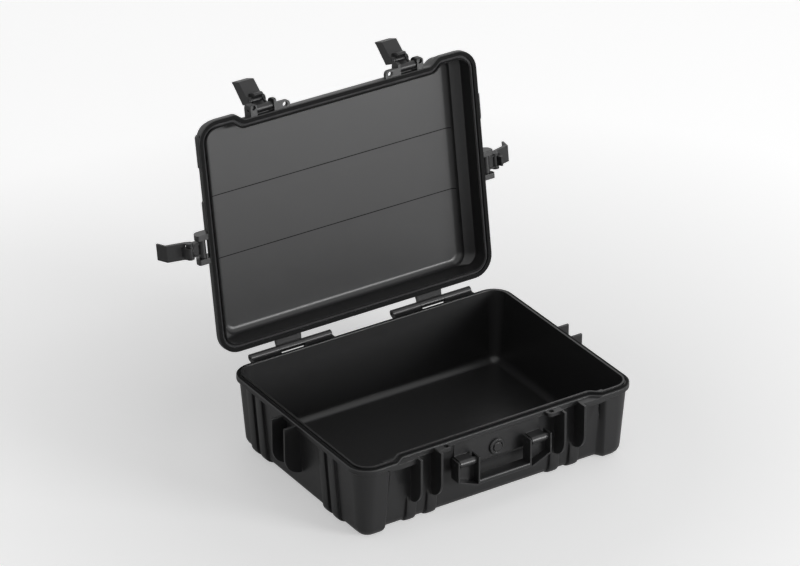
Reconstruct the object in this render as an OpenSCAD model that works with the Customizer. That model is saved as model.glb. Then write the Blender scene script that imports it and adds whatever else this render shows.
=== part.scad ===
/* [Case] */
// Width of the closed case over its side flanges
case_w = 560; // [540:10:640]
// Depth of the case from the rear flange to the front corner blocks
case_d = 422; // [400:2:460]
// Height of the base from the floor to the parting line
base_h = 140; // [134:2:180]
// Height of the closed lid above the parting line
lid_h = 54; // [50:1:70]
// Corner radius of the flanges seen from above
corner_r = 38; // [34:1:42]
// How far the lid stands open at rest, in degrees
open_angle = 98.66; // [90:0.5:105]

/* [Front recess] */
// Depth that the front middle lies behind the two corner blocks
step_d = 13; // [8:1:16]
// Width of each front corner block, measured from the side flange
block_w = 72; // [68:1:76]
// Width of the curve between a corner block and the front middle
step_run = 24; // [20:1:28]

/* [Walls] */
// Height of the flange band on the base
flange_h = 10; // [8:0.5:14]
// Inset of the outer wall where it meets the flange
wall_top_inset = 5.5; // [4:0.5:7]
// Inset of the outer wall of the base at the floor
wall_foot_inset = 14; // [10:1:16]
// Loss of the front recess depth from floor to flange
step_fade = 4; // [2:0.5:5]
// Radius between the outer wall and the floor of the base
foot_r = 20; // [14:1:22]
// Thickness of the base floor
floor_t = 4; // [3:0.5:6]
// Inset of the cavity at the rim
cavity_top_inset = 12; // [11:0.5:13]
// Inset of the cavity at the floor
cavity_foot_inset = 19; // [18:0.5:22]
// Radius between the cavity wall and the cavity floor
cavity_r = 14; // [10:1:20]

/* [Seal] */
// Inset of the lip that stands up inside the base groove
lip_inset = 8.5; // [8:0.1:9]
// Height of that lip above the parting line
lip_up = 3; // [2:0.5:3.5]
// Width of the groove outside the lip
groove_w = 2.5; // [2:0.1:3]
// Depth of that groove
groove_deep = 2; // [1.5:0.5:3]
// Gap between lid and base at the parting line
parting_gap = 0.4; // [0.3:0.1:0.8]
// Width of the gasket ring in the lid
gasket_w = 4.6; // [4:0.1:5]
// Height of the gasket ring
gasket_h = 3.4; // [3:0.1:4]
// Gap left round the gasket in its groove
gasket_gap = 0.2; // [0.1:0.1:0.3]
// Width of the inner lip of the lid
lid_lip_w = 3; // [2.5:0.5:3.5]
// Radius along the outer top edge of the lid
lid_top_r = 20; // [14:1:22]
// Thickness of the lid panel
lid_t = 4; // [3:0.5:6]
// How far the side walls of the lid lean inward above their upright part
lid_side_lean = 18; // [12:1:22]

/* [Hinge] */
// Distance of the hinge axis behind the rear flange
hinge_out = 16; // [15:0.5:18]
// Depth of the hinge axis below the parting line
hinge_drop = 1.6; // [1:0.1:2]
// Radius of the hinge barrels
barrel_r = 6.5; // [6:0.1:7]
// Radius of the hinge pins
hinge_pin_r = 2.5; // [2:0.1:3]
// Running clearance of every pin in its bore
fit = 0.05; // [0.04:0.01:0.08]
// Distance of each hinge's outer end from the side flange
hinge_side = 54; // [50:1:60]
// Length of the outer knuckle on the base
knuckle_outer = 56; // [50:1:60]
// Length of the knuckle on the lid
knuckle_lid = 51; // [46:1:56]
// Length of the inner knuckle on the base
knuckle_inner = 56; // [50:1:60]
// Gap between neighbouring barrels
barrel_gap = 0.4; // [0.3:0.1:0.8]

/* [Latch stations] */
// Distance of the front latches from the curve beside them
front_latch_in = 39.7; // [38:0.1:42]
// Place of the side latches along the depth, forward is negative
side_latch_y = 11; // [6:1:16]
// Half spacing of the two guard fins
fin_x = 20.3; // [20:0.1:22]
// Thickness of a guard fin
fin_t = 4.2; // [3.5:0.1:4.6]
// Reach of the fins beyond the flange
fin_out = 22.5; // [20:0.5:24]
// Height of the straight front edge of a fin
fin_straight = 57; // [50:1:62]
// Height of the rounded lower part of a fin
fin_round = 35; // [30:1:40]
// Half width of the flat back of a latch recess
recess_flat = 37.3; // [34:0.1:40]
// Width of the slope at each side of a latch recess
recess_slope = 29; // [26:1:32]
// Depth of a latch recess behind the flange face
recess_deep = 8.5; // [7:0.1:9]
// Lean of the back of a side recess, in degrees
recess_lean = 2.4; // [2:0.1:2.6]

/* [Latches] */
// Distance of the latch pivot from the flange face
pivot_out = 9; // [8.5:0.1:10]
// Height of the latch pivot above the parting line
pivot_up = 11; // [11:0.1:12]
// Radius of the latch pins
latch_pin_r = 2.5; // [2:0.1:3]
// Length of the latch link from pivot to pivot
link_len = 22; // [21:0.5:24]
// Radius of the link hubs
link_hub_r = 6.5; // [6:0.1:7]
// Half gap between the ears
ear_gap = 16.7; // [16.5:0.1:17.5]
// Width of the lever
lever_w = 29.6; // [29:0.1:31]
// Length of the flat lever plate below the lower pivot
lever_len = 40; // [36:1:42]
// Length of the flared finger lip
lip_len = 24.8; // [20:0.2:26]
// Flare of the finger lip, in degrees
lip_flare = 58; // [40:1:62]
// Thickness of the lever plate
lever_t = 3.5; // [3:0.1:4]
// Depth of the lever cheeks on the front latches
cheek_front = 24; // [16:1:26]
// Depth of the lever cheeks on the side latches
cheek_side = 7; // [6:1:10]
// Rest angle of the front links from hanging, in degrees
front_link_angle = 157; // [120:1:165]
// Rest angle of the front levers from hanging, in degrees
front_lever_angle = 135; // [120:1:150]
// Rest angle of the side links from hanging, in degrees
side_link_angle = 100; // [90:1:120]
// Rest angle of the side levers from hanging, in degrees
side_lever_angle = 107; // [90:1:120]

/* [Handle] */
// Distance of each end of the handle from the middle of the front latch beside it
handle_in = 50.3; // [48.3:1:52.3]
// Width of each handle leg
leg_w = 43.5; // [42:0.5:45]
// Depth of the handle from front to back
handle_d = 22; // [20:0.5:24]
// Depth of the handle pivot below the parting line
handle_down = 40; // [36:1:44]
// Distance of the handle pivot from the front flange face
handle_out = 15; // [14:0.5:17]
// Length of the handle from its pivot to its lower edge
handle_len = 45; // [42:1:48]
// Height of the grip bar
grip_h = 9; // [8:0.5:10]
// Thickness of the ribs along the edges of the legs
rib_t = 3; // [2.5:0.1:3.5]
// Radius of the handle pivot barrels
knob_r = 7; // [6.5:0.1:7.5]
// Radius of the handle pins
handle_pin_r = 2.5; // [2:0.1:3]

/* [Pressure valve] */
// Depth of the valve axis below the parting line
valve_down = 39; // [34:1:44]
// Radius of the valve body flange
valve_r = 15; // [13:0.5:16]
// Radius of the valve knob
valve_knob_r = 9; // [8:0.5:10]
// Radius of the valve stem
stem_r = 4; // [3.5:0.1:4.5]

/* [Padlock tabs] */
// Radius of the padlock holes
padlock_r = 4.6; // [4:0.1:5]
// Distance of a padlock hole from the latch beside it
padlock_in = 38.3; // [37:0.1:40]
// Distance of the hole centres from the front flange face
padlock_out = 6; // [5.5:0.5:7]
// Thickness of a padlock tab
tab_t = 7; // [6:0.5:8]

/* [Hidden] */
$fn = 48;

// One overrun for every cut
over = 1;
// Side gap between a moving piece and what carries it
slide_gap = 0.4;
// Colours
shell_tone = "#26282b";
latch_tone = "#1d1f21";
pin_tone = "#3a3d40";
seal_tone = "#101112";

// Steps along a corner, along the front curve and along a fillet
corner_steps = 8;
curve_steps = 6;
fillet_steps = 5;
// Smallest radius that a corner may shrink to
corner_min = 4;
// Growth of the front curve's place with the inset, as a share
curve_shift_share = 0.4;
// How far the curve's inner and outer ends lie farther out below the flange
block_in = 22;
block_out = 9;
// Small bevel along the flange edges
bevel = 1.2;
// Radius under the flange
under_r = 2.5;

// Heights that several pieces share
flange_z = base_h - flange_h;
hinge_y = case_d / 2 + hinge_out;
step_outer = case_w / 2 - block_w;
step_inner = step_outer - step_run;
hinge_end = case_w / 2 - hinge_side;
hinge_seam_out = hinge_end - knuckle_outer;
hinge_seam_in = hinge_seam_out - knuckle_lid;
hinge_in = hinge_seam_in - knuckle_inner;
front_latch_x = step_inner - front_latch_in;
padlock_x = front_latch_x - padlock_in;
handle_w = 2 * (front_latch_x - handle_in);
handle_z = base_h - handle_down;
valve_z = base_h - valve_down;
hinge_z = base_h - hinge_drop;
front_face = case_d / 2 - step_d;
lid_z0 = base_h + parting_gap;
lid_top = base_h + lid_h;

// One closed ring of the case's outline at one inset, step depth and height
function arc(cx, cy, r, a0) =
    [for (i = [0 : corner_steps]) let (a = a0 + 90 * i / corner_steps)
        [cx + r * cos(a), cy + r * sin(a)]];
function curve(x0, x1, y0, y1) =
    [for (i = [0 : curve_steps]) let (t = i / curve_steps)
        [x0 + (x1 - x0) * t, y0 + (y1 - y0) * (1 - cos(180 * t)) / 2]];
function outline(inset, step, lean = 0, wall_share = 0) =
    let (hx = case_w / 2 - inset - lean, hy = case_d / 2 - inset,
        r = max(corner_r - inset, corner_min),
        si = step_inner + curve_shift_share * inset + wall_share * block_in,
        so = step_outer + curve_shift_share * inset + wall_share * block_out)
    concat(
        arc(hx - r, -hy + r, r, -90),
        arc(hx - r, hy - r, r, 0),
        arc(-hx + r, hy - r, r, 90),
        arc(-hx + r, -hy + r, r, 180),
        curve(-so, -si, -hy, -hy + step),
        curve(si, so, -hy + step, -hy));
function ring(inset, z, step, lean = 0, wall_share = 0) =
    [for (p = outline(inset, step, lean, wall_share)) [p[0], p[1], z]];

// A closed skin through a list of rings with the same number of points
module loft(rings, first, last) {
    n = len(rings[0]);
    m = len(rings);
    points = concat([for (r = rings) for (p = r) p], [first, last]);
    sides = [for (j = [0 : m - 2]) for (i = [0 : n - 1])
        let (a = j * n + i, b = j * n + (i + 1) % n, c = a + n, d = b + n)
        each [[a, d, b], [a, c, d]]];
    caps = concat([for (i = [0 : n - 1]) [m * n, i, (i + 1) % n]],
        [for (i = [0 : n - 1]) [m * n + 1, (m - 1) * n + (i + 1) % n, (m - 1) * n + i]]);
    polyhedron(points = points, faces = concat(sides, caps));
}
// A quarter round as [inset, height] pairs, from flat to upright
function fillet(r, inset, z, up) =
    [for (i = [0 : fillet_steps]) let (a = 90 * i / fillet_steps)
        [inset + r * (1 - sin(a)), z + up * r * (1 - cos(a))]];

// Profile of the base wall as [inset, height, step, share of the wall's shift]
base_wall_step = step_d - step_fade;
base_outer = [for (f = fillet(foot_r, wall_foot_inset, 0, 1)) [f[0], f[1], step_d, 1]];
base_rim = [[wall_top_inset, flange_z - under_r, base_wall_step, 1],
    [wall_top_inset - under_r, flange_z, base_wall_step + step_fade / 2, 1],
    [bevel, flange_z, step_d, 0], [0, flange_z + bevel, step_d, 0],
    [0, base_h - bevel, step_d, 0], [bevel, base_h, step_d, 0],
    [lip_inset - groove_w, base_h, step_d, 0],
    [lip_inset - groove_w, base_h - groove_deep, step_d, 0],
    [lip_inset, base_h - groove_deep, step_d, 0], [lip_inset, base_h + lip_up, step_d, 0],
    [cavity_top_inset - bevel / 2, base_h + lip_up, step_d, 0],
    [cavity_top_inset, base_h + lip_up - bevel, step_d, 0]];
base_inner = [for (i = [fillet_steps : -1 : 0])
    let (f = fillet(cavity_r, cavity_foot_inset, floor_t, 1)[i]) [f[0], f[1], step_d, 1]];
base_path = concat(base_outer, base_rim, base_inner);

// Profile of the closed lid, from its top panel round to its inside
groove_in = cavity_top_inset + bevel / 2;
groove_out = groove_in - gasket_w - 2 * gasket_gap;
groove_roof = lid_z0 + lip_up + gasket_h;
lid_cavity_inset = groove_in + lid_lip_w;
lid_wall_inset = lid_cavity_inset - lid_t;
lid_band_top = groove_roof + lid_t;
lid_step = step_d - step_fade / 2;
// Height of the upright part of the side walls above the parting line
lid_upright = 32;
// Height over which the outer side walls lean inward
lean_rise = lid_h - lid_upright - 2 * lid_t;
lid_skin = [for (f = fillet(lid_top_r, lid_wall_inset, lid_top, -1))
    [f[0], f[1], lid_step,
        lid_side_lean * min(1, max(0, (f[1] - base_h - lid_upright) / lean_rise))]];
lid_rim = [[lid_wall_inset, lid_band_top + under_r, lid_step, 0],
    [lid_wall_inset - under_r, lid_band_top, lid_step, 0],
    [bevel, lid_band_top, step_d, 0], [0, lid_band_top - bevel, step_d, 0],
    [0, lid_z0 + bevel, step_d, 0], [bevel, lid_z0, step_d, 0],
    [groove_out, lid_z0, step_d, 0], [groove_out, groove_roof, step_d, 0],
    [groove_in, groove_roof, step_d, 0], [groove_in, lid_z0, step_d, 0],
    [lid_cavity_inset - bevel / 2, lid_z0, step_d, 0],
    [lid_cavity_inset, lid_z0 + bevel, step_d, 0],
    [lid_cavity_inset, base_h + lid_upright - lid_t / 2, step_d, 0]];
lid_cavity_r = 12;
lid_inside = [for (i = [fillet_steps : -1 : 0])
    let (f = fillet(lid_cavity_r, lid_cavity_inset, lid_top - lid_t, -1)[i])
        [f[0], f[1], step_d, lid_side_lean]];
lid_path = concat(lid_skin, lid_rim, lid_inside);

// Places of the four latch stations: x, y and turn about the vertical
station_fl = [-front_latch_x, -front_face, 0];
station_fr = [front_latch_x, -front_face, 0];
station_sl = [-case_w / 2, side_latch_y, -90];
station_sr = [case_w / 2, side_latch_y, 90];
module at_station(s) {
    translate([s[0], s[1], 0]) rotate([0, 0, s[2]]) children();
}
// Puts a piece drawn on the closed lid where the open lid holds it
module on_lid() {
    translate([0, hinge_y, hinge_z]) rotate([-open_angle, 0, 0])
        translate([0, -hinge_y, -hinge_z]) children();
}

// A flat prism across the x direction, drawn in the plane of y and z
module across(w) {
    rotate([90, 0, 90]) linear_extrude(w, center = true) children();
}

// Guard fin: straight front edge over a quarter ellipse back to the wall
fin_drop = 3;
fin_top = base_h - fin_drop;
fin_root = 2;
function fin_profile(root) =
    concat([[root, fin_top], [-fin_out, fin_top], [-fin_out, fin_top - fin_straight]],
        [for (i = [1 : corner_steps]) let (a = 90 * i / corner_steps)
            [-fin_out + (fin_out + root) * (1 - cos(a)),
                fin_top - fin_straight - fin_round * sin(a)]]);
module fins(root) {
    for (s = [-1, 1]) translate([s * fin_x, 0, 0]) across(fin_t)
        polygon(fin_profile(root));
}
// Latch recess: a flat back with a slope at each side, cut up to the flange
recess_foot = 24;
recess_front_foot = 20;
// Height over which a front recess fades out towards the floor
recess_ramp = 80;
// Slope of a front recess beside the corner block, and the half width of its flat back there
recess_edge = 16;
recess_block = step_inner + block_in - front_latch_x - recess_edge;
recess_top = flange_z - under_r / 2;
recess_lead = 14;
module recess(flat_a, slope_a, flat_b, slope_b, foot, ramp, back, lean) {
    intersection() {
        translate([0, recess_deep, flange_z]) rotate([-lean, 0, 0])
            translate([0, 0, foot - flange_z - recess_lead])
                linear_extrude(flange_z - foot + 2 * recess_lead)
                    polygon([[-flat_a, 0], [flat_b, 0], [flat_b + slope_b, -recess_deep],
                        [flat_b + slope_b, -recess_deep - step_d - recess_lead],
                        [-flat_a - slope_a, -recess_deep - step_d - recess_lead],
                        [-flat_a - slope_a, -recess_deep]]);
        across(case_w) polygon([[-recess_deep - step_d, foot], [0, foot],
            [back, foot + ramp], [back, recess_top],
            [-recess_deep - step_d, recess_top]]);
    }
}

// Flat topped rib up a wall, following the foot radius
rib_w = 20;
rib_out = 6;
rib_sink = 3.5;
rib_steps = 6;
// Exponent that flattens the top of a rib
rib_round_share = 0.45;
function wall_at(z) = z < foot_r ? wall_foot_inset + foot_r
        - sqrt(foot_r * foot_r - pow(foot_r - z, 2))
    : wall_foot_inset - (wall_foot_inset - wall_top_inset) * (z - foot_r) / (flange_z - foot_r);
function rib_ring(z, inset, w, out) =
    concat([[w / 2, inset + rib_sink, z]],
        [for (i = [0 : rib_steps]) let (a = 180 * i / rib_steps)
            [w / 2 * sign(cos(a)) * pow(abs(cos(a)), rib_round_share),
                inset - out * pow(sin(a), rib_round_share), z]],
        [[-w / 2, inset + rib_sink, z]]);
rib_foot_shares = [0.02, 0.08, 0.2, 0.4, 0.65, 1];
rib_end_share = 0.05;
module rib(top, fade, face_shift, w, out) {
    // Heights with the share of the full reach; a faded rib runs out at its top
    steps = concat([for (s = rib_foot_shares) [s * foot_r, 1]],
        fade > 0 ? [[top - fade, 1], [top, rib_end_share]] : [[top, 1]]);
    rings = [for (s = steps) rib_ring(s[0], wall_at(s[0]) + face_shift, w, out * s[1])];
    loft([for (i = [len(rings) - 1 : -1 : 0]) rings[i]],
        [0, wall_at(top) + face_shift + rib_sink / 2, top],
        [0, wall_at(steps[0][0]) + face_shift + rib_sink / 2, steps[0][0]]);
}

// Outline of the padlock tabs
tab_rim = 9.5;
tab_reach = 13;
tab_round = 7;
tab_gap = 2;
base_tab_z = base_h - tab_gap - tab_t;

// Straight rail of a hinge knuckle: barrel and the arm to the shell
module barrel(x0, x1, r) {
    translate([x0, hinge_y, hinge_z]) rotate([0, 90, 0]) cylinder(r = r, h = x1 - x0);
}
module base_knuckle(x0, x1) {
    barrel(x0, x1, barrel_r);
    translate([x0, case_d / 2 - over, hinge_z - barrel_r])
        cube([x1 - x0, hinge_out + over, barrel_r]);
    translate([x0, 0, 0]) rotate([90, 0, 90]) linear_extrude(x1 - x0)
        polygon([[case_d / 2 - wall_top_inset - over, flange_z - hinge_out],
            [case_d / 2 - wall_top_inset - over, flange_z + over],
            [case_d / 2 + over, flange_z + over],
            [hinge_y, hinge_z - barrel_r + over], [hinge_y, hinge_z - barrel_r]]);
}
// Where the arm of a lid knuckle leaves the barrel, in degrees from level
knuckle_turn = 60;
module lid_knuckle(x0, x1) {
    barrel(x0, x1, barrel_r);
    translate([x0, 0, 0]) rotate([90, 0, 90]) linear_extrude(x1 - x0)
        polygon([[case_d / 2 - over, lid_z0 + bevel], [case_d / 2 - over, lid_band_top - bevel],
            [case_d / 2, lid_band_top - bevel],
            [hinge_y + barrel_r * cos(knuckle_turn), hinge_z + barrel_r * sin(knuckle_turn)],
            [hinge_y, hinge_z], [hinge_y - barrel_r * cos(knuckle_turn), lid_z0 + bevel]]);
}

// Handle lugs and the raised middle that carries the valve
lug_w = 28;
leg_mid = handle_w / 2 - leg_w / 2;
boss_side = 26;
boss_half = front_latch_x - fin_x - fin_t - boss_side - recess_deep;
boss_back = 1;
boss_drop = 60;
boss_foot = base_h - boss_drop;
boss_step = 6;
module handle_lugs() {
    for (s = [-1, 1]) translate([s * leg_mid, -front_face - handle_out, handle_z]) {
        rotate([0, 90, 0]) cylinder(r = knob_r, h = lug_w, center = true);
        translate([-lug_w / 2, 0, -knob_r])
            cube([lug_w, handle_out + wall_top_inset + recess_deep / 2, 2 * knob_r]);
    }
}
module valve_boss() {
    translate([0, -front_face, 0]) across(2 * boss_half)
        polygon([[recess_deep + fin_root, boss_foot - boss_step],
            [recess_deep + fin_root, flange_z + over], [boss_back, flange_z + over],
            [boss_back, boss_foot + boss_step / 2], [recess_deep, boss_foot - boss_step]]);
}

// Ledge between the outer fin and the corner block
ledge_t = 10;
module ledge(s) {
    x0 = front_latch_x + fin_x;
    root = recess_deep + fin_root;
    translate([0, 0, fin_top - ledge_t]) linear_extrude(ledge_t)
        polygon([[s * x0, -front_face + root], [s * x0, -case_d / 2 + over],
            [s * (step_outer - step_d), -case_d / 2 - over],
            [s * (step_outer + step_d), -case_d / 2 + bevel],
            [s * (step_outer + step_d), -front_face + root]]);
}

side_rib_shares = [0.68, 0.54, -0.412, -0.552];
module side_ribs() {
    for (s = [-1, 1]) for (p = side_rib_shares)
        translate([s * case_w / 2, p * case_d / 2, 0]) rotate([0, 0, s * 90])
            rib(flange_z + over, 0, 0, rib_w, rib_out);
}
module front_ribs() {
    for (s = [-1, 1]) for (f = [-1, 1])
        translate([s * front_latch_x + f * fin_x, -case_d / 2, 0])
            rib(fin_top - fin_straight - fin_round + 2 * rib_out, 2 * rib_out, step_d,
                rib_w, rib_out);
}

module base_shell() color(shell_tone) {
    difference() {
        union() {
            difference() {
                loft([for (p = base_path) ring(p[0], p[1], p[2], 0, p[3])],
                    [0, 0, 0], [0, 0, floor_t]);
                at_station(station_fl) recess(recess_block, recess_edge, recess_flat,
                    recess_slope, recess_front_foot, recess_ramp, recess_deep + over, 0);
                at_station(station_fr) recess(recess_flat, recess_slope, recess_block,
                    recess_edge, recess_front_foot, recess_ramp, recess_deep + over, 0);
                for (s = [station_sl, station_sr]) at_station(s)
                    recess(recess_flat, recess_slope, recess_flat, recess_slope,
                        recess_foot, recess_lead, 2 * recess_deep, recess_lean);
            }
            for (s = [station_fl, station_fr]) at_station(s) fins(recess_deep + fin_root);
            for (s = [station_sl, station_sr]) at_station(s) fins(recess_deep + fin_root);
            side_ribs();
            front_ribs();
            for (s = [-1, 1]) {
                ledge(s);
                padlock_tab(s, base_tab_z);
                base_knuckle(min(s * hinge_in, s * hinge_seam_in),
                    max(s * hinge_in, s * hinge_seam_in));
                base_knuckle(min(s * hinge_seam_out, s * hinge_end),
                    max(s * hinge_seam_out, s * hinge_end));
            }
            handle_lugs();
            valve_boss();
        }
        for (s = [-1, 1]) {
            padlock_hole(s, base_tab_z);
            barrel(s > 0 ? hinge_in - over : -hinge_end - over,
                s > 0 ? hinge_end + over : -hinge_in + over, hinge_pin_r + fit);
            translate([s * leg_mid, -front_face - handle_out, handle_z]) rotate([0, 90, 0])
                cylinder(r = handle_pin_r + fit, h = leg_w, center = true);
        }
        valve_bore();
    }
}

// Ears on the lid: a broad one outside each latch and a slim one with the padlock tab
ear_low = 2;
ear_high = 24;
ear_reach = 21;
ear_broad = 13;
ear_slim = 5;
ear_round = 5.5;
ear_wall = 2.5;
ear_root = lid_wall_inset + under_r;
module ear_side(w) {
    across(w) polygon(concat([[over, base_h + ear_low], [-ear_reach + ear_wall, base_h + ear_low],
        [-ear_reach, base_h + ear_low + ear_wall]],
        [for (i = [0 : corner_steps]) let (a = 90 * i / corner_steps)
            [-pivot_out - (ear_reach - pivot_out) * cos(a),
                base_h + pivot_up + (ear_high - pivot_up) * sin(a)]],
        [[ear_root, base_h + ear_high], [ear_root, lid_band_top - over],
            [over, lid_band_top - over]]));
}
module ear_plan(w, broad) {
    linear_extrude(lid_top) polygon(concat([[w / 2, ear_root + over], [-w / 2, ear_root + over]],
        [for (i = [0 : corner_steps]) let (a = 90 * i / corner_steps)
            [-w / 2 + broad * (1 - cos(a)), -ear_reach + broad * (1 - sin(a))]],
        [for (i = [corner_steps : -1 : 0]) let (a = 90 * i / corner_steps)
            [w / 2 - broad * (1 - cos(a)), -ear_reach + broad * (1 - sin(a))]]));
}
module broad_ear() {
    difference() {
        intersection() {
            ear_side(ear_broad);
            ear_plan(ear_broad, ear_round);
        }
        // Round pocket that cores the ear out from below
        translate([0, -ear_reach + ear_broad / 2, base_h + ear_low - over])
            cylinder(r = ear_broad / 2 - ear_wall,
                h = pivot_up - latch_pin_r - ear_low - ear_wall + over);
    }
}
module ears(slim_side) {
    translate([-slim_side * (ear_gap + ear_broad / 2), 0, 0]) broad_ear();
    translate([slim_side * (ear_gap + ear_slim / 2), 0, 0]) ear_side(ear_slim);
}
module side_ears() {
    for (s = [-1, 1]) translate([s * (ear_gap + ear_slim), 0, 0]) ear_side(2 * ear_slim);
}
// Pivot bore, through the broad ear too where that lies at the given side
module ear_bore(left, right) {
    translate([-ear_gap - left - over / 2, -pivot_out, base_h + pivot_up]) rotate([0, 90, 0])
        cylinder(r = latch_pin_r + fit, h = 2 * ear_gap + left + right + over);
}

// Padlock tabs, one on the base and one on the lid at each side of the handle
module padlock_tab(s, z0) {
    x_in = padlock_x - tab_rim;
    x_out = front_latch_x - ear_gap - ear_slim / 2;
    translate([0, -front_face, z0]) linear_extrude(tab_t)
        polygon([for (p = concat([[x_in, over]],
            [for (i = [0 : corner_steps]) let (a = 90 * i / corner_steps)
                [x_in + tab_round * (1 - cos(a)), -tab_reach + tab_round * (1 - sin(a))]],
            [[x_out, -tab_reach], [x_out, over]])) [s * p[0], p[1]]]);
}
module padlock_hole(s, z0) {
    translate([s * padlock_x, -front_face - padlock_out, z0 - over])
        cylinder(r = padlock_r, h = tab_t + 2 * over);
}

module lid_shell() color(shell_tone) on_lid() {
    difference() {
        union() {
            loft([for (i = [len(lid_path) - 1 : -1 : 0]) let (p = lid_path[i])
                ring(p[0], p[1], p[2], p[3])], [0, 0, lid_top - lid_t], [0, 0, lid_top]);
            at_station(station_fl) ears(1);
            at_station(station_fr) ears(-1);
            for (s = [station_sl, station_sr]) at_station(s) side_ears();
            for (s = [-1, 1]) {
                lid_knuckle(min(s * (hinge_seam_in + barrel_gap), s * (hinge_seam_out - barrel_gap)),
                    max(s * (hinge_seam_in + barrel_gap), s * (hinge_seam_out - barrel_gap)));
                padlock_tab(s, base_h + ear_low);
            }
        }
        for (s = [-1, 1]) {
            padlock_hole(s, base_h + ear_low);
            barrel(s > 0 ? hinge_seam_in : -hinge_seam_out,
                s > 0 ? hinge_seam_out : -hinge_seam_in, hinge_pin_r + fit);
        }
        at_station(station_fl) ear_bore(ear_broad, ear_slim);
        at_station(station_fr) ear_bore(ear_slim, ear_broad);
        for (s = [station_sl, station_sr]) at_station(s) ear_bore(ear_slim, ear_slim);
    }
}

// Gasket ring in the groove of the lid
module lid_gasket() color(seal_tone) on_lid() {
    gi = groove_out + gasket_gap;
    go = gi + gasket_w;
    z1 = groove_roof - gasket_gap;
    z0 = z1 - gasket_h + gasket_gap;
    difference() {
        translate([0, 0, z0]) linear_extrude(z1 - z0) polygon(outline(gi, step_d));
        translate([0, 0, z0 - over]) linear_extrude(z1 - z0 + 2 * over)
            polygon(outline(go, step_d));
    }
}

module hinge_pin(s) color(pin_tone) {
    inset = barrel_r - hinge_pin_r;
    barrel(s > 0 ? hinge_in + inset : -hinge_end + inset,
        s > 0 ? hinge_end - inset : -hinge_in - inset, hinge_pin_r);
}
module hinge_pin_left() hinge_pin(-1);
module hinge_pin_right() hinge_pin(1);

// Latch pieces are drawn hanging straight down from their own upper pivot
arm_t = 3;
lever_cheek_t = 2.5;
arm_out = lever_w / 2 - lever_cheek_t - slide_gap;
web_back = 8;
web_t = 3;
module latch_link() color(latch_tone) {
    difference() {
        union() {
            rotate([0, 90, 0]) cylinder(r = link_hub_r, h = 2 * (ear_gap - slide_gap), center = true);
            for (s = [-1, 1]) translate([s * (arm_out - arm_t / 2), 0, 0]) {
                across(arm_t) polygon([[link_hub_r - web_t, 0], [-web_back - web_t, 0],
                    [-web_back - web_t, -link_len + 3 * web_t], [-link_hub_r, -link_len],
                    [link_hub_r - web_t, -link_len]]);
                translate([0, 0, -link_len]) rotate([0, 90, 0])
                    cylinder(r = link_hub_r, h = arm_t, center = true);
            }
            across(2 * arm_out) polygon([[-web_back, link_hub_r - web_t], [-web_back - web_t, 0],
                [-web_back - web_t, -link_len + 3 * web_t], [-web_back, -link_len + 3 * web_t]]);
            across(2 * arm_out) polygon([[0, link_hub_r - web_t], [-web_back, link_hub_r - web_t],
                [-web_back, -web_t], [-link_hub_r + web_t, -web_t], [0, 0]]);
            // Middle web that closes the link between its hubs
            across(2 * arm_out) polygon([[-web_t / 2, -link_hub_r + over],
                [web_t / 2, -link_hub_r + over],
                [web_t / 2, -link_len + lever_barrel_r + 2 * slide_gap],
                [-web_t / 2, -link_len + lever_barrel_r + 2 * slide_gap]]);
        }
        rotate([0, 90, 0]) cylinder(r = latch_pin_r + fit, h = 2 * ear_gap + over, center = true);
        translate([0, 0, -link_len]) rotate([0, 90, 0])
            cylinder(r = latch_pin_r + fit, h = lever_w + over, center = true);
    }
}
// Lever with its lower pivot at the origin
plate_back = 2;
lever_root = link_hub_r + slide_gap;
claw_in = 15;
claw_h = 7.5;
claw_drop = 0.5;
claw_w = 2 * (arm_out - arm_t - slide_gap);
lever_barrel_r = 5;
lip_s = lever_len + lip_len * cos(lip_flare);
lip_t = plate_back + lip_len * sin(lip_flare);
module latch_lever(cheek) color(latch_tone) {
    back = plate_back + cheek;
    difference() {
        union() {
            across(lever_w) polygon([[-plate_back, -lever_root], [-plate_back, -lever_len],
                [-lip_t, -lip_s], [-lip_t - lever_t * sin(lip_flare) / 2, -lip_s + lever_t],
                [-plate_back - lever_t, -lever_len + lever_t * cos(lip_flare)],
                [-plate_back - lever_t, -lever_root - lever_t], [-plate_back - lever_t / 2, -lever_root]]);
            for (s = [-1, 1]) translate([s * (lever_w - lever_cheek_t) / 2, 0, 0]) {
                across(lever_cheek_t) polygon([[link_hub_r, 0], [-plate_back, -lever_root - lever_t],
                    [-plate_back, -lever_len], [-min(back, lip_t), -lever_len
                        - (min(back, lip_t) - plate_back) / tan(lip_flare)],
                    [-back, -lever_root], [-link_hub_r, link_hub_r / 2], [0, 0]]);
                rotate([0, 90, 0]) cylinder(r = link_hub_r, h = lever_cheek_t, center = true);
            }
            rotate([0, 90, 0]) cylinder(r = lever_barrel_r, h = claw_w, center = true);
            across(claw_w) polygon([[-plate_back, -lever_root - claw_h], [-plate_back, -lever_root],
                [link_hub_r, -claw_drop], [claw_in, -claw_drop],
                [claw_in, -claw_drop - claw_h / 2], [claw_in - claw_h / 2, -claw_drop - claw_h]]);
        }
        rotate([0, 90, 0]) cylinder(r = latch_pin_r + fit, h = lever_w + over, center = true);
    }
}
module upper_frame(s, link_angle) {
    on_lid() at_station(s) translate([0, -pivot_out, base_h + pivot_up])
        rotate([-link_angle, 0, 0]) children();
}
module lower_frame(s, link_angle, lever_angle) {
    upper_frame(s, link_angle) translate([0, 0, -link_len])
        rotate([link_angle - lever_angle, 0, 0]) children();
}
pin_tuck = 1;
module upper_pin() color(pin_tone) rotate([0, 90, 0])
    cylinder(r = latch_pin_r, h = 2 * (ear_gap + ear_slim - pin_tuck), center = true);
module lower_pin() color(pin_tone) rotate([0, 90, 0])
    cylinder(r = latch_pin_r, h = lever_w - pin_tuck, center = true);
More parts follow.
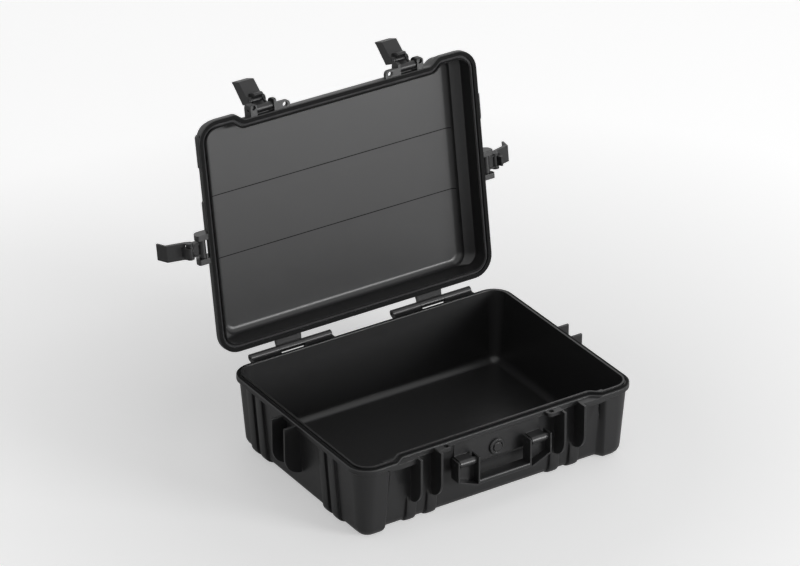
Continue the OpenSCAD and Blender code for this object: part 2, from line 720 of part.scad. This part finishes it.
module latch_fl_link() upper_frame(station_fl, front_link_angle) latch_link();
module latch_fr_link() upper_frame(station_fr, front_link_angle) latch_link();
module latch_sl_link() upper_frame(station_sl, side_link_angle) latch_link();
module latch_sr_link() upper_frame(station_sr, side_link_angle) latch_link();
module latch_fl_upper_pin() upper_frame(station_fl, 0) upper_pin();
module latch_fr_upper_pin() upper_frame(station_fr, 0) upper_pin();
module latch_sl_upper_pin() upper_frame(station_sl, 0) upper_pin();
module latch_sr_upper_pin() upper_frame(station_sr, 0) upper_pin();
module latch_fl_lower_pin() lower_frame(station_fl, front_link_angle, 0) lower_pin();
module latch_fr_lower_pin() lower_frame(station_fr, front_link_angle, 0) lower_pin();
module latch_sl_lower_pin() lower_frame(station_sl, side_link_angle, 0) lower_pin();
module latch_sr_lower_pin() lower_frame(station_sr, side_link_angle, 0) lower_pin();
module latch_fl_lever()
    lower_frame(station_fl, front_link_angle, front_lever_angle) latch_lever(cheek_front);
module latch_fr_lever()
    lower_frame(station_fr, front_link_angle, front_lever_angle) latch_lever(cheek_front);
module latch_sl_lever()
    lower_frame(station_sl, side_link_angle, side_lever_angle) latch_lever(cheek_side);
module latch_sr_lever()
    lower_frame(station_sr, side_link_angle, side_lever_angle) latch_lever(cheek_side);

// Carrying handle, folded down against the front: two channelled legs and a bar
leg_chamfer_x = 36;
leg_chamfer_z = 16;
handle_web_t = 6;
leg_top = 9;
leg_boss_r = 6;
module leg_outline(grow) {
    polygon([[-leg_w / 2 - grow, leg_top + grow], [leg_w / 2 + grow, leg_top + grow],
        [leg_w / 2 + grow, -handle_len - grow],
        [-leg_w / 2 + leg_chamfer_x - grow / 2, -handle_len - grow],
        [-leg_w / 2 - grow, -handle_len + leg_chamfer_z - grow / 2]]);
}
module handle_leg() {
    difference() {
        translate([0, handle_d / 2, 0]) rotate([90, 0, 0]) linear_extrude(handle_d) leg_outline(0);
        // Channel open to the front
        translate([0, handle_d / 2 - handle_web_t, 0]) rotate([90, 0, 0])
            linear_extrude(handle_d) leg_outline(-rib_t);
        // Slot for the lug of the base
        translate([-leg_w / 2 + rib_t, -handle_d / 2 - over, -knob_r - rib_t])
            cube([leg_w - 2 * rib_t, handle_d + 2 * over, knob_r + rib_t + leg_top + over]);
        rotate([0, 90, 0]) cylinder(r = handle_pin_r + fit, h = leg_w + over, center = true);
    }
}
module leg_bosses() {
    boss_len = (leg_w - lug_w) / 2 - rib_t - slide_gap;
    for (s = [-1, 1]) translate([s * (leg_w / 2 - rib_t - boss_len / 2 + over / 2), 0, 0])
        rotate([0, 90, 0]) difference() {
            cylinder(r = leg_boss_r, h = boss_len + over, center = true);
            cylinder(r = handle_pin_r + fit, h = boss_len + 2 * over, center = true);
        }
}
module leg() {
    handle_leg();
    leg_bosses();
}
// Corners of the grip bar in turn: side, side and start angle
grip_corners = [[1, 1, 0], [-1, 1, 90], [-1, -1, 180], [1, -1, 270]];
grip_steps = 4;
module grip_bar() {
    r = grip_h * grip_round_share;
    rotate([0, 90, 0]) linear_extrude(handle_w - 2 * leg_w + 2 * over, center = true)
        polygon([for (c = grip_corners) for (i = [0 : grip_steps])
            let (a = c[2] + 90 * i / grip_steps)
                [c[0] * (grip_h / 2 - r) + r * cos(a), c[1] * (handle_d / 2 - r) + r * sin(a)]]);
}
// Corner radius of the grip bar as a share of its height
grip_round_share = 0.3;
module handle() color(latch_tone) translate([0, -front_face - handle_out, handle_z]) {
    translate([-leg_mid, 0, 0]) leg();
    translate([leg_mid, 0, 0]) mirror([1, 0, 0]) leg();
    translate([0, 0, -handle_len + grip_h / 2]) grip_bar();
}
module handle_pin(s) color(pin_tone)
    translate([s * leg_mid, -front_face - handle_out, handle_z]) rotate([0, 90, 0])
        cylinder(r = handle_pin_r, h = leg_w - pin_tuck, center = true);
module handle_pin_left() handle_pin(-1);
module handle_pin_right() handle_pin(1);

// Pressure valve: body in the front wall, knob that turns in it, seal behind its flange
valve_flange_t = 4;
valve_face = front_face - boss_back;
shank_wall = 3;
shank_r = stem_r + shank_wall;
shank_len = 12;
bore_len = 30;
stem_len = 9;
well_gap = 0.5;
well_deep = 2;
seal_t = 1.2;
seal_r_in = 10;
seal_r_out = 13;
module valve_axis() translate([0, -valve_face, valve_z]) rotate([90, 0, 0]) children();
module valve_bore() valve_axis() {
    translate([0, 0, -bore_len]) cylinder(r = shank_r + fit, h = bore_len + over);
    difference() {
        translate([0, 0, -seal_t]) cylinder(r = seal_r_out, h = seal_t + over);
        translate([0, 0, -seal_t - over]) cylinder(r = seal_r_in, h = seal_t + 3 * over);
    }
}
module valve_body() color(latch_tone) valve_axis() rotate_extrude()
    polygon([[0, -stem_len - bevel / 2], [0, -shank_len], [shank_r - bevel / 2, -shank_len],
        [shank_r, -shank_len + bevel], [shank_r, 0], [valve_r, 0],
        [valve_r, valve_flange_t - bevel], [valve_r - bevel, valve_flange_t],
        [valve_knob_r + well_gap + bevel / 2, valve_flange_t],
        [valve_knob_r + well_gap, valve_flange_t - bevel / 2],
        [valve_knob_r + well_gap, valve_flange_t - well_deep],
        [stem_r + fit, valve_flange_t - well_deep],
        [stem_r + fit, -stem_len - bevel / 2]]);
module valve_knob() color(pin_tone) valve_axis() difference() {
    rotate_extrude() polygon([[0, -stem_len], [stem_r - bevel / 2, -stem_len],
        [stem_r, -stem_len + bevel / 2], [stem_r, valve_flange_t - well_deep + slide_gap],
        [valve_knob_r, valve_flange_t - well_deep + slide_gap], [valve_knob_r, valve_flange_t],
        [valve_knob_r - bevel, valve_flange_t + bevel], [0, valve_flange_t + bevel]]);
    // Three finger notches in the rim of the knob
    for (a = notch_turns) rotate([0, 0, a]) translate([valve_knob_r + notch_r / 2, 0, 0])
        cylinder(r = notch_r, h = valve_flange_t + bevel + over);
}
notch_r = 3.2;
notch_turns = [40, 160, 280];
module valve_seal() color(seal_tone) valve_axis() translate([0, 0, -seal_t]) difference() {
    cylinder(r = seal_r_out, h = seal_t);
    translate([0, 0, -over]) cylinder(r = seal_r_in, h = seal_t + 2 * over);
}

base_shell();
lid_shell();
lid_gasket();
hinge_pin_left();
hinge_pin_right();
latch_fl_link();
latch_fl_lever();
latch_fl_upper_pin();
latch_fl_lower_pin();
latch_fr_link();
latch_fr_lever();
latch_fr_upper_pin();
latch_fr_lower_pin();
latch_sl_link();
latch_sl_lever();
latch_sl_upper_pin();
latch_sl_lower_pin();
latch_sr_link();
latch_sr_lever();
latch_sr_upper_pin();
latch_sr_lower_pin();
handle();
handle_pin_left();
handle_pin_right();
valve_body();
valve_knob();
valve_seal();
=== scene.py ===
import math

import bpy
from mathutils import Matrix, Vector


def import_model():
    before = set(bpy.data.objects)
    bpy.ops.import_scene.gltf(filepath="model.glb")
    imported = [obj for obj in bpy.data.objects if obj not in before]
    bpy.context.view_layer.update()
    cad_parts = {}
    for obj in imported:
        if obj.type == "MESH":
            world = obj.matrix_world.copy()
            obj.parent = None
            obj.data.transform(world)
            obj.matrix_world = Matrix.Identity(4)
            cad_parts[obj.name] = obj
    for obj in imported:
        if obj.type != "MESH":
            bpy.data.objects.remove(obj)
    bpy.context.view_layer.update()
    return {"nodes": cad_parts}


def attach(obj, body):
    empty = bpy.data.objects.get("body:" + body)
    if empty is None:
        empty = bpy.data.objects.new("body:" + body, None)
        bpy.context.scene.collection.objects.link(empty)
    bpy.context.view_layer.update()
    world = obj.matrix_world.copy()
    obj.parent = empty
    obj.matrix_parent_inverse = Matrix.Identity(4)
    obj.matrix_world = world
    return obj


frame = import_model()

MM = 0.001
UP = Vector((0, 0, 1))
# Parting line and hinge axis, as in the CAD model
PARTING = 0.140
HINGE = Vector((0, 0.227, 0.1384))
# Where the open lid holds what points back and up on the shut one
LID_BACK, LID_UP = Vector((0, -0.1505, -0.9886)), Vector((0, 0.9886, -0.1505))
scene = bpy.context.scene
nodes = frame["nodes"]


# Camera: direction, roll, distance, move sideways and up in its own plane, and lens
VIEW = {
    "az": math.radians(-32.67), "el": math.radians(28.55), "roll": math.radians(-0.16),
    "dist": 8001.9, "right_mm": -55.21, "up_mm": 150.96, "lens": 211.4,
}
AIM_HEIGHT, SENSOR, NEAREST, FARTHEST = 150, 36, 0.5, 60


def camera(az, el, roll, dist, right_mm, up_mm, lens):
    """A camera at dist from a point over the middle of the case, moved sideways and up in its own plane."""
    back = Vector((math.sin(az) * math.cos(el), -math.cos(az) * math.cos(el), math.sin(el)))
    side = UP.cross(back).normalized()
    over = back.cross(side)
    c, s = math.cos(roll), math.sin(roll)
    right, top = side * c + over * s, over * c - side * s
    at = UP * AIM_HEIGHT + right * right_mm + top * up_mm + back * dist
    data = bpy.data.cameras.new("view")
    data.lens = lens
    data.sensor_width = SENSOR
    data.clip_start, data.clip_end = NEAREST, FARTHEST
    cam = bpy.data.objects.new("view", data)
    pose = Matrix((right, top, back)).transposed().to_4x4()
    pose.translation = at * MM
    cam.matrix_world = pose
    scene.collection.objects.link(cam)
    scene.camera = cam


camera(**VIEW)


# Materials

# Sockets of the Mix node in its colour mode
MIX_FACTOR, MIX_A, MIX_B, MIX_OUT = 0, 6, 7, 2
# Middle part of a noise, which is spread over the whole range of a value
NOISE_SPAN = (0.3, 0.7)
# Scale, detail and roughness of each noise; the grain's scale comes with its plastic
FLOW_CLOUDS, SCUFFS, GRAIN_DETAIL = (9.0, 4.0, 0.55), (60.0, 5.0, 0.7), (2.0, 0.6)
RUBBER_CLOUDS, RUBBER_SKIN = (40.0, 4.0, 0.55), (900.0, 2.0, 0.55)
SCRATCHES, FLOOR_CLOUDS = (300.0, 6.0, 0.7), (1.2, 2.0, 0.55)


class Nodes:
    """Small helper that builds a node tree on one material."""

    def __init__(self, name):
        self.mat = bpy.data.materials.new(name)
        self.mat.use_nodes = True
        self.tree = self.mat.node_tree
        self.tree.nodes.clear()
        out = self.add("ShaderNodeOutputMaterial")
        self.shader = self.add("ShaderNodeBsdfPrincipled")
        self.link(self.shader, "BSDF", out, "Surface")
        self.place = self.add("ShaderNodeNewGeometry")
        self.local = self.add("ShaderNodeTexCoord")

    def add(self, kind, **values):
        """A new node; each value goes to the node's own setting, or else to the socket of that name."""
        node = self.tree.nodes.new(kind)
        for key, value in values.items():
            if hasattr(node, key):
                setattr(node, key, value)
            else:
                node.inputs[key.replace("_", " ")].default_value = value
        return node

    def link(self, a, out, b, socket):
        self.tree.links.new(a.outputs[out], b.inputs[socket])

    def noise(self, scale, detail, rough):
        n = self.add("ShaderNodeTexNoise", Scale=scale, Detail=detail, Roughness=rough)
        self.link(self.local, "Object", n, "Vector")
        return n

    def ramp(self, source, out, span, to):
        """The output out of source, with the range span spread over the range to."""
        n = self.add("ShaderNodeMapRange", From_Min=span[0], From_Max=span[1], To_Min=to[0], To_Max=to[1])
        self.link(source, out, n, "Value")
        return n

    def math(self, operation, a, out, b=0.0):
        """The output out of a, combined with the number b or with the first output of the node b."""
        n = self.add("ShaderNodeMath", operation=operation)
        self.link(a, out, n, 0)
        if isinstance(b, (int, float)):
            n.inputs[1].default_value = b
        else:
            self.link(b, 0, n, 1)
        return n

    def dot(self, what, way):
        """What, Object for the place or Normal for the facing, measured along the direction way."""
        n = self.add("ShaderNodeVectorMath", operation="DOT_PRODUCT")
        self.link(self.local, what, n, 0)
        n.inputs[1].default_value = way
        return n

    def along(self, way, start):
        """How far, in metres, a point lies from start along the direction way."""
        return self.math("SUBTRACT", self.dot("Object", way), "Value", way.dot(start))

    def mix(self, factor, out, a, b):
        """A blend of the colour b into a, which is a colour or the colour output of a Mix node."""
        n = self.add("ShaderNodeMix", data_type="RGBA")
        self.link(factor, out, n, MIX_FACTOR)
        if isinstance(a, tuple):
            n.inputs[MIX_A].default_value = (*a, 1)
        else:
            self.link(a, MIX_OUT, n, MIX_A)
        n.inputs[MIX_B].default_value = (*b, 1)
        return n

    def bump(self, source, strength, depth, over=None):
        """Relief from a noise, laid over the normal of the node over where there is one."""
        n = self.add("ShaderNodeBump", Strength=strength, Distance=depth)
        self.link(source, "Fac", n, "Height")
        if over:
            self.link(over, "Normal", n, "Normal")
        self.link(n, "Normal", self.shader, "Normal")


# Painted shade on the shells: the flat contact faces of the rims painted dark, and also made rougher and less
# shiny, and two fine grooves inside the lid painted as dark lines
RIM_SHADE_REACH, RIM_SHADE_FACING, RIM_SHADE_SHARE = 0.001, 0.9, 0.78
SEAM_PLACES = (-0.0595, 0.0538)
SEAM_EDGE = (0.0004, 0.0010)
SEAM_MIN_UP, SEAM_MAX_FACING, SEAM_HALF_WIDTH = 0.030, 0.3, 0.2445
# Colour of the painted shade, and its roughness and shine
PAINTED_SHADE_COLOUR, MARK_ROUGH, MARK_SHINE = (0.002, 0.002, 0.002), 0.95, (0.5, 0.05)


def painted_rim_shade(k, up, at):
    """The share of painted shade on the flat contact face of the rim, which faces up and holds the point at;
    0 elsewhere.
    """
    near = k.math("LESS_THAN", k.math("ABSOLUTE", k.along(up, at), 0), 0, RIM_SHADE_REACH)
    flat = k.math("GREATER_THAN", k.math("ABSOLUTE", k.dot("Normal", up), "Value"), 0, RIM_SHADE_FACING)
    return k.math("MULTIPLY", k.math("MULTIPLY", near, 0, flat), 0, RIM_SHADE_SHARE)


def painted_groove_shade(k):
    """1 on the two fine grooves that cross the inside of the lid, where shade is painted as dark lines; 0
    elsewhere.
    """
    reach = k.along(LID_BACK, HINGE)
    near = None
    for place in SEAM_PLACES:
        gap = k.math("ABSOLUTE", k.math("SUBTRACT", reach, 0, place - HINGE.y), 0)
        near = k.math("MINIMUM", near, 0, gap) if near else gap
    line = k.ramp(near, 0, SEAM_EDGE, (1.0, 0.0))
    high = k.math("GREATER_THAN", k.along(LID_UP, HINGE), 0, SEAM_MIN_UP)
    inward = k.math("LESS_THAN", k.dot("Normal", LID_UP), "Value", SEAM_MAX_FACING)
    parts = k.add("ShaderNodeSeparateXYZ")
    k.link(k.local, "Object", parts, 0)
    within = k.math("LESS_THAN", k.math("ABSOLUTE", parts, "X"), 0, SEAM_HALF_WIDTH)
    return k.math("MULTIPLY", k.math("MULTIPLY", line, 0, high), 0, k.math("MULTIPLY", inward, 0, within))


# Painted shade on the rim of the base
def base_painted_shade(k):
    return painted_rim_shade(k, UP, UP * PARTING)


# Painted shade on the rim of the lid and on its two grooves
def lid_painted_shade(k):
    return k.math("MAXIMUM", painted_groove_shade(k), 0, painted_rim_shade(k, LID_UP, HINGE + LID_UP * (PARTING - HINGE.z)))


# Plastic: radius of the rounded edges, how far its normal leaves the flat one, and the wear there
EDGE_RADIUS, EDGE_SPAN, EDGE_WEAR, EDGE_SAMPLES = 0.0009, (0.995, 0.80), (0.0, 0.55), 4
CLOUD_GAIN, GRAIN_STRENGTH, GRAIN_DEPTH, ROUGH_LESS, ROUGH_MORE = 1.16, 0.12, 0.0002, 0.02, 0.03
PLASTIC_IOR = 1.5


def plastic(name, base, pale, rough, grain=1400.0, marks=None):
    """Moulded plastic: spark-eroded grain, faint flow clouds, worn paler edges, and painted shade where marks
    are given.
    """
    k = Nodes(name)
    clouds = k.noise(*FLOW_CLOUDS)
    fine = k.noise(grain, *GRAIN_DETAIL)
    scuff = k.noise(*SCUFFS)
    bevel = k.add("ShaderNodeBevel", samples=EDGE_SAMPLES, Radius=EDGE_RADIUS)
    turn = k.add("ShaderNodeVectorMath", operation="DOT_PRODUCT")
    k.link(bevel, "Normal", turn, 0)
    k.link(k.place, "Normal", turn, 1)
    worn = k.math("MULTIPLY", k.ramp(turn, "Value", EDGE_SPAN, EDGE_WEAR), 0, scuff)
    colour = k.mix(worn, 0, k.mix(clouds, "Fac", base, tuple(c * CLOUD_GAIN for c in base)), pale)
    gloss = k.ramp(scuff, "Fac", NOISE_SPAN, (rough - ROUGH_LESS, rough + ROUGH_MORE))
    # Painted shade: darker colour, rougher and less shiny where the marks lie
    if marks:
        mark = marks(k)
        colour = k.mix(mark, 0, colour, PAINTED_SHADE_COLOUR)
        gloss = k.math("MAXIMUM", gloss, 0, k.math("MULTIPLY", mark, 0, MARK_ROUGH))
        k.link(k.ramp(mark, 0, (0, 1), MARK_SHINE), 0, k.shader, "Specular IOR Level")
    k.link(colour, MIX_OUT, k.shader, "Base Color")
    k.link(gloss, 0, k.shader, "Roughness")
    k.bump(fine, GRAIN_STRENGTH, GRAIN_DEPTH, over=bevel)
    k.shader.inputs["IOR"].default_value = PLASTIC_IOR
    return k.mat


# How much paler the clouds of rubber and the scratches of steel are, their roughness and their relief
RUBBER_GAIN, RUBBER_ROUGH, SKIN_STRENGTH, SKIN_DEPTH = 1.4, (0.62, 0.78), 0.2, 0.0003
STEEL_GAIN, STEEL_ROUGH, SCRATCH_STRENGTH, SCRATCH_DEPTH = 1.5, (0.28, 0.45), 0.15, 0.0001


def rubber(name, base):
    """Matt elastomer with faint clouds and a fine skin."""
    k = Nodes(name)
    clouds = k.noise(*RUBBER_CLOUDS)
    pale = tuple(c * RUBBER_GAIN for c in base)
    k.link(k.mix(clouds, "Fac", base, pale), MIX_OUT, k.shader, "Base Color")
    k.bump(k.noise(*RUBBER_SKIN), SKIN_STRENGTH, SKIN_DEPTH)
    k.link(k.ramp(clouds, "Fac", NOISE_SPAN, RUBBER_ROUGH), 0, k.shader, "Roughness")
    return k.mat


def steel(name, base):
    """Blackened pin steel with fine scratches."""
    k = Nodes(name)
    k.shader.inputs["Metallic"].default_value = 1.0
    scratch = k.noise(*SCRATCHES)
    pale = tuple(c * STEEL_GAIN for c in base)
    k.link(k.mix(scratch, "Fac", base, pale), MIX_OUT, k.shader, "Base Color")
    k.link(k.ramp(scratch, "Fac", NOISE_SPAN, STEEL_ROUGH), 0, k.shader, "Roughness")
    k.bump(scratch, SCRATCH_STRENGTH, SCRATCH_DEPTH)
    return k.mat


# Colour, colour where worn, and roughness of each plastic, then the colour of rubber and steel
BODY, WORN = (0.015, 0.015, 0.0155), (0.06, 0.06, 0.061)
shell = plastic("case_plastic", BODY, WORN, 0.37, marks=base_painted_shade)
lid = plastic("lid_plastic", BODY, WORN, 0.37, marks=lid_painted_shade)
latch = plastic("latch_plastic", (0.010, 0.010, 0.0105), (0.05, 0.05, 0.051), 0.42, grain=1800.0)
handle = plastic("handle_plastic", (0.016, 0.016, 0.0165), WORN, 0.38)
valve = plastic("valve_plastic", (0.018, 0.018, 0.0185), (0.07, 0.07, 0.071), 0.36)
seal = rubber("seal_rubber", (0.012, 0.012, 0.013))
pins = steel("pin_steel", (0.10, 0.10, 0.105))
OWN_FINISH = {"base_shell": shell, "lid_shell": lid, "lid_gasket": seal, "valve_seal": seal, "handle": handle}


def finish_of(n):
    """The material of the CAD node n."""
    if n in OWN_FINISH:
        return OWN_FINISH[n]
    if "pin" in n:
        return pins
    return latch if n.startswith("latch") else valve


# Smooth shading on curved faces, with the edges that are sharper than this kept
WELD_GAP, SHARP_ANGLE, NORMAL_WEIGHT = 0.00001, math.radians(32), 80

for n, o in nodes.items():
    o.data.materials.clear()
    o.data.materials.append(finish_of(n))
    for p in o.data.polygons:
        p.use_smooth = True
    o.modifiers.new("weld", "WELD").merge_threshold = WELD_GAP
    split = o.modifiers.new("edges", "EDGE_SPLIT")
    split.split_angle = SHARP_ANGLE
    split.use_edge_sharp = False
    o.modifiers.new("normals", "WEIGHTED_NORMAL").weight = NORMAL_WEIGHT


# Bars on the side flanges of the lid: place of root and face, how proud they stand, low and high edge
BAR_ROOT, BAR_FACE, BAR_PROUD, BAR_LOW, BAR_HIGH = 0.2780, 0.2790, 0.0038, 0.0035, 0.0115
# Length of the sloped ends, how far a face stands out for each unit that its edge draws in, and rounding
BAR_END, BAR_SLOPE, BAR_ROUND, BAR_SEGMENTS = 0.004, 3, 0.0007, 2
# Side, front end and back end of each bar on the shut lid
BARS = ((-1, -0.192, -0.130), (-1, -0.075, -0.018), (1, -0.127, -0.075))


def bar(name, side, front, back):
    """A low bar moulded on the side flange of the lid, with sloped ends."""
    points = []
    for y, out in ((front, 0.0), (front + BAR_END, BAR_PROUD), (back - BAR_END, BAR_PROUD), (back, 0.0)):
        slope = out / BAR_SLOPE
        ring = ((BAR_ROOT, BAR_LOW), (BAR_FACE + out, BAR_LOW + slope),
                (BAR_FACE + out, BAR_HIGH - slope), (BAR_ROOT, BAR_HIGH))
        for x, up in ring:
            points.append(HINGE + Vector((side * x, 0, 0)) + LID_BACK * (y - HINGE.y) + LID_UP * up)
    faces = [(0, 1, 2, 3), (12, 15, 14, 13)]
    for a in (0, 4, 8):
        faces += [(a + i, a + 4 + i, a + 4 + (i + 1) % 4, a + (i + 1) % 4) for i in range(4)]
    mesh = bpy.data.meshes.new(name)
    mesh.from_pydata(points, [], [f if side < 0 else tuple(reversed(f)) for f in faces])
    mesh.materials.append(lid)
    o = bpy.data.objects.new(name, mesh)
    scene.collection.objects.link(o)
    soften = o.modifiers.new("round", "BEVEL")
    soften.width, soften.segments = BAR_ROUND, BAR_SEGMENTS
    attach(o, "lid")


for side, front, back in BARS:
    bar("flange_bar_%s_%d" % ("left" if side < 0 else "right", round(-front / MM)), side, front, back)


# Floor, world and lamps

# Half the floor's side, its roughness and its two colours
FLOOR_HALF, FLOOR_ROUGH = 14.0, 0.7
FLOOR_DARK, FLOOR_PALE = (0.80, 0.80, 0.80), (0.84, 0.84, 0.84)
# Distance from the middle over which the seen floor grows paler, and how much is added to it there; the
# darker floor near the case is painted shadow
GLOW_REACH, GLOW, GLOSS_SHARE = (0.45, 1.3), (0.43, 0.68), 0.2


def floor():
    """A pale floor; what is seen of it, straight or in a gloss, is paler than what lights the object, less so
    near the case, which paints a shadow round it.
    """
    h = FLOOR_HALF
    mesh = bpy.data.meshes.new("floor")
    mesh.from_pydata([(-h, -h, 0), (h, -h, 0), (h, h, 0), (-h, h, 0)], [], [(0, 1, 2, 3)])
    o = bpy.data.objects.new("floor", mesh)
    scene.collection.objects.link(o)
    k = Nodes("floor_paint")
    k.link(k.mix(k.noise(*FLOOR_CLOUDS), "Fac", FLOOR_DARK, FLOOR_PALE), MIX_OUT, k.shader, "Base Color")
    k.shader.inputs["Roughness"].default_value = FLOOR_ROUGH
    path = k.add("ShaderNodeLightPath")
    far = k.add("ShaderNodeVectorMath", operation="LENGTH")
    k.link(k.local, "Object", far, 0)
    # Less glow near the middle: painted shadow round the case
    glow = k.ramp(far, "Value", GLOW_REACH, GLOW)
    seen = k.math("MAXIMUM", path, "Is Camera Ray", k.math("MULTIPLY", path, "Is Glossy Ray", GLOSS_SHARE))
    k.link(k.math("MULTIPLY", seen, 0, glow), 0, k.shader, "Emission Strength")
    k.shader.inputs["Emission Color"].default_value = (1, 1, 1, 1)
    mesh.materials.append(k.mat)


# Share of the height over which the world's light falls off, and its strength below and above
SKY_SPAN, SKY_LIGHT, WHITE = (0.15, 0.85), (0.42, 0.10), 1.0


def world():
    """Soft studio: light comes mostly from round the horizon, little from overhead; what is seen is white."""
    w = bpy.data.worlds.new("studio")
    scene.world = w
    w.use_nodes = True
    tree = w.node_tree
    tree.nodes.clear()
    add, link = tree.nodes.new, tree.links.new
    way, parts, height = add("ShaderNodeTexCoord"), add("ShaderNodeSeparateXYZ"), add("ShaderNodeMapRange")
    link(way.outputs["Generated"], parts.inputs[0])
    height.interpolation_type = "SMOOTHSTEP"
    for key, value in zip(("From Min", "From Max", "To Min", "To Max"), SKY_SPAN + SKY_LIGHT):
        height.inputs[key].default_value = value
    link(parts.outputs["Z"], height.inputs["Value"])
    light, white = add("ShaderNodeBackground"), add("ShaderNodeBackground")
    for n in (light, white):
        n.inputs["Color"].default_value = (1, 1, 1, 1)
    link(height.outputs["Result"], light.inputs["Strength"])
    white.inputs["Strength"].default_value = WHITE
    path = add("ShaderNodeLightPath")
    seen = path.outputs["Is Camera Ray"]
    for ray in ("Is Glossy Ray", "Is Transmission Ray"):
        most = add("ShaderNodeMath")
        most.operation = "MAXIMUM"
        link(seen, most.inputs[0])
        link(path.outputs[ray], most.inputs[1])
        seen = most.outputs[0]
    mix, out = add("ShaderNodeMixShader"), add("ShaderNodeOutputWorld")
    link(seen, mix.inputs[0])
    link(light.outputs[0], mix.inputs[1])
    link(white.outputs[0], mix.inputs[2])
    link(mix.outputs[0], out.inputs[0])


def lamp(name, place, aim, size, power):
    """A rectangular lamp at place that faces the point aim."""
    data = bpy.data.lights.new(name, "AREA")
    data.shape = "RECTANGLE"
    data.size, data.size_y = size
    data.energy = power
    o = bpy.data.objects.new(name, data)
    o.location = place
    o.rotation_euler = (Vector(aim) - Vector(place)).to_track_quat("-Z", "Y").to_euler()
    scene.collection.objects.link(o)


floor()
world()
# The key stands low at the front right; all soft and at a plain level
lamp("key", place=(2.5, -4.3, 1.0), aim=(0, 0, 0.3), size=(1.8, 1.1), power=158)
lamp("top", place=(0.4, -0.6, 3.2), aim=(0, 0, 0.2), size=(2.4, 2.4), power=8)
lamp("fill", place=(-3.0, -1.8, 0.9), aim=(0, 0, 0.2), size=(1.2, 1.2), power=2)
scene.view_settings.view_transform = "Standard"
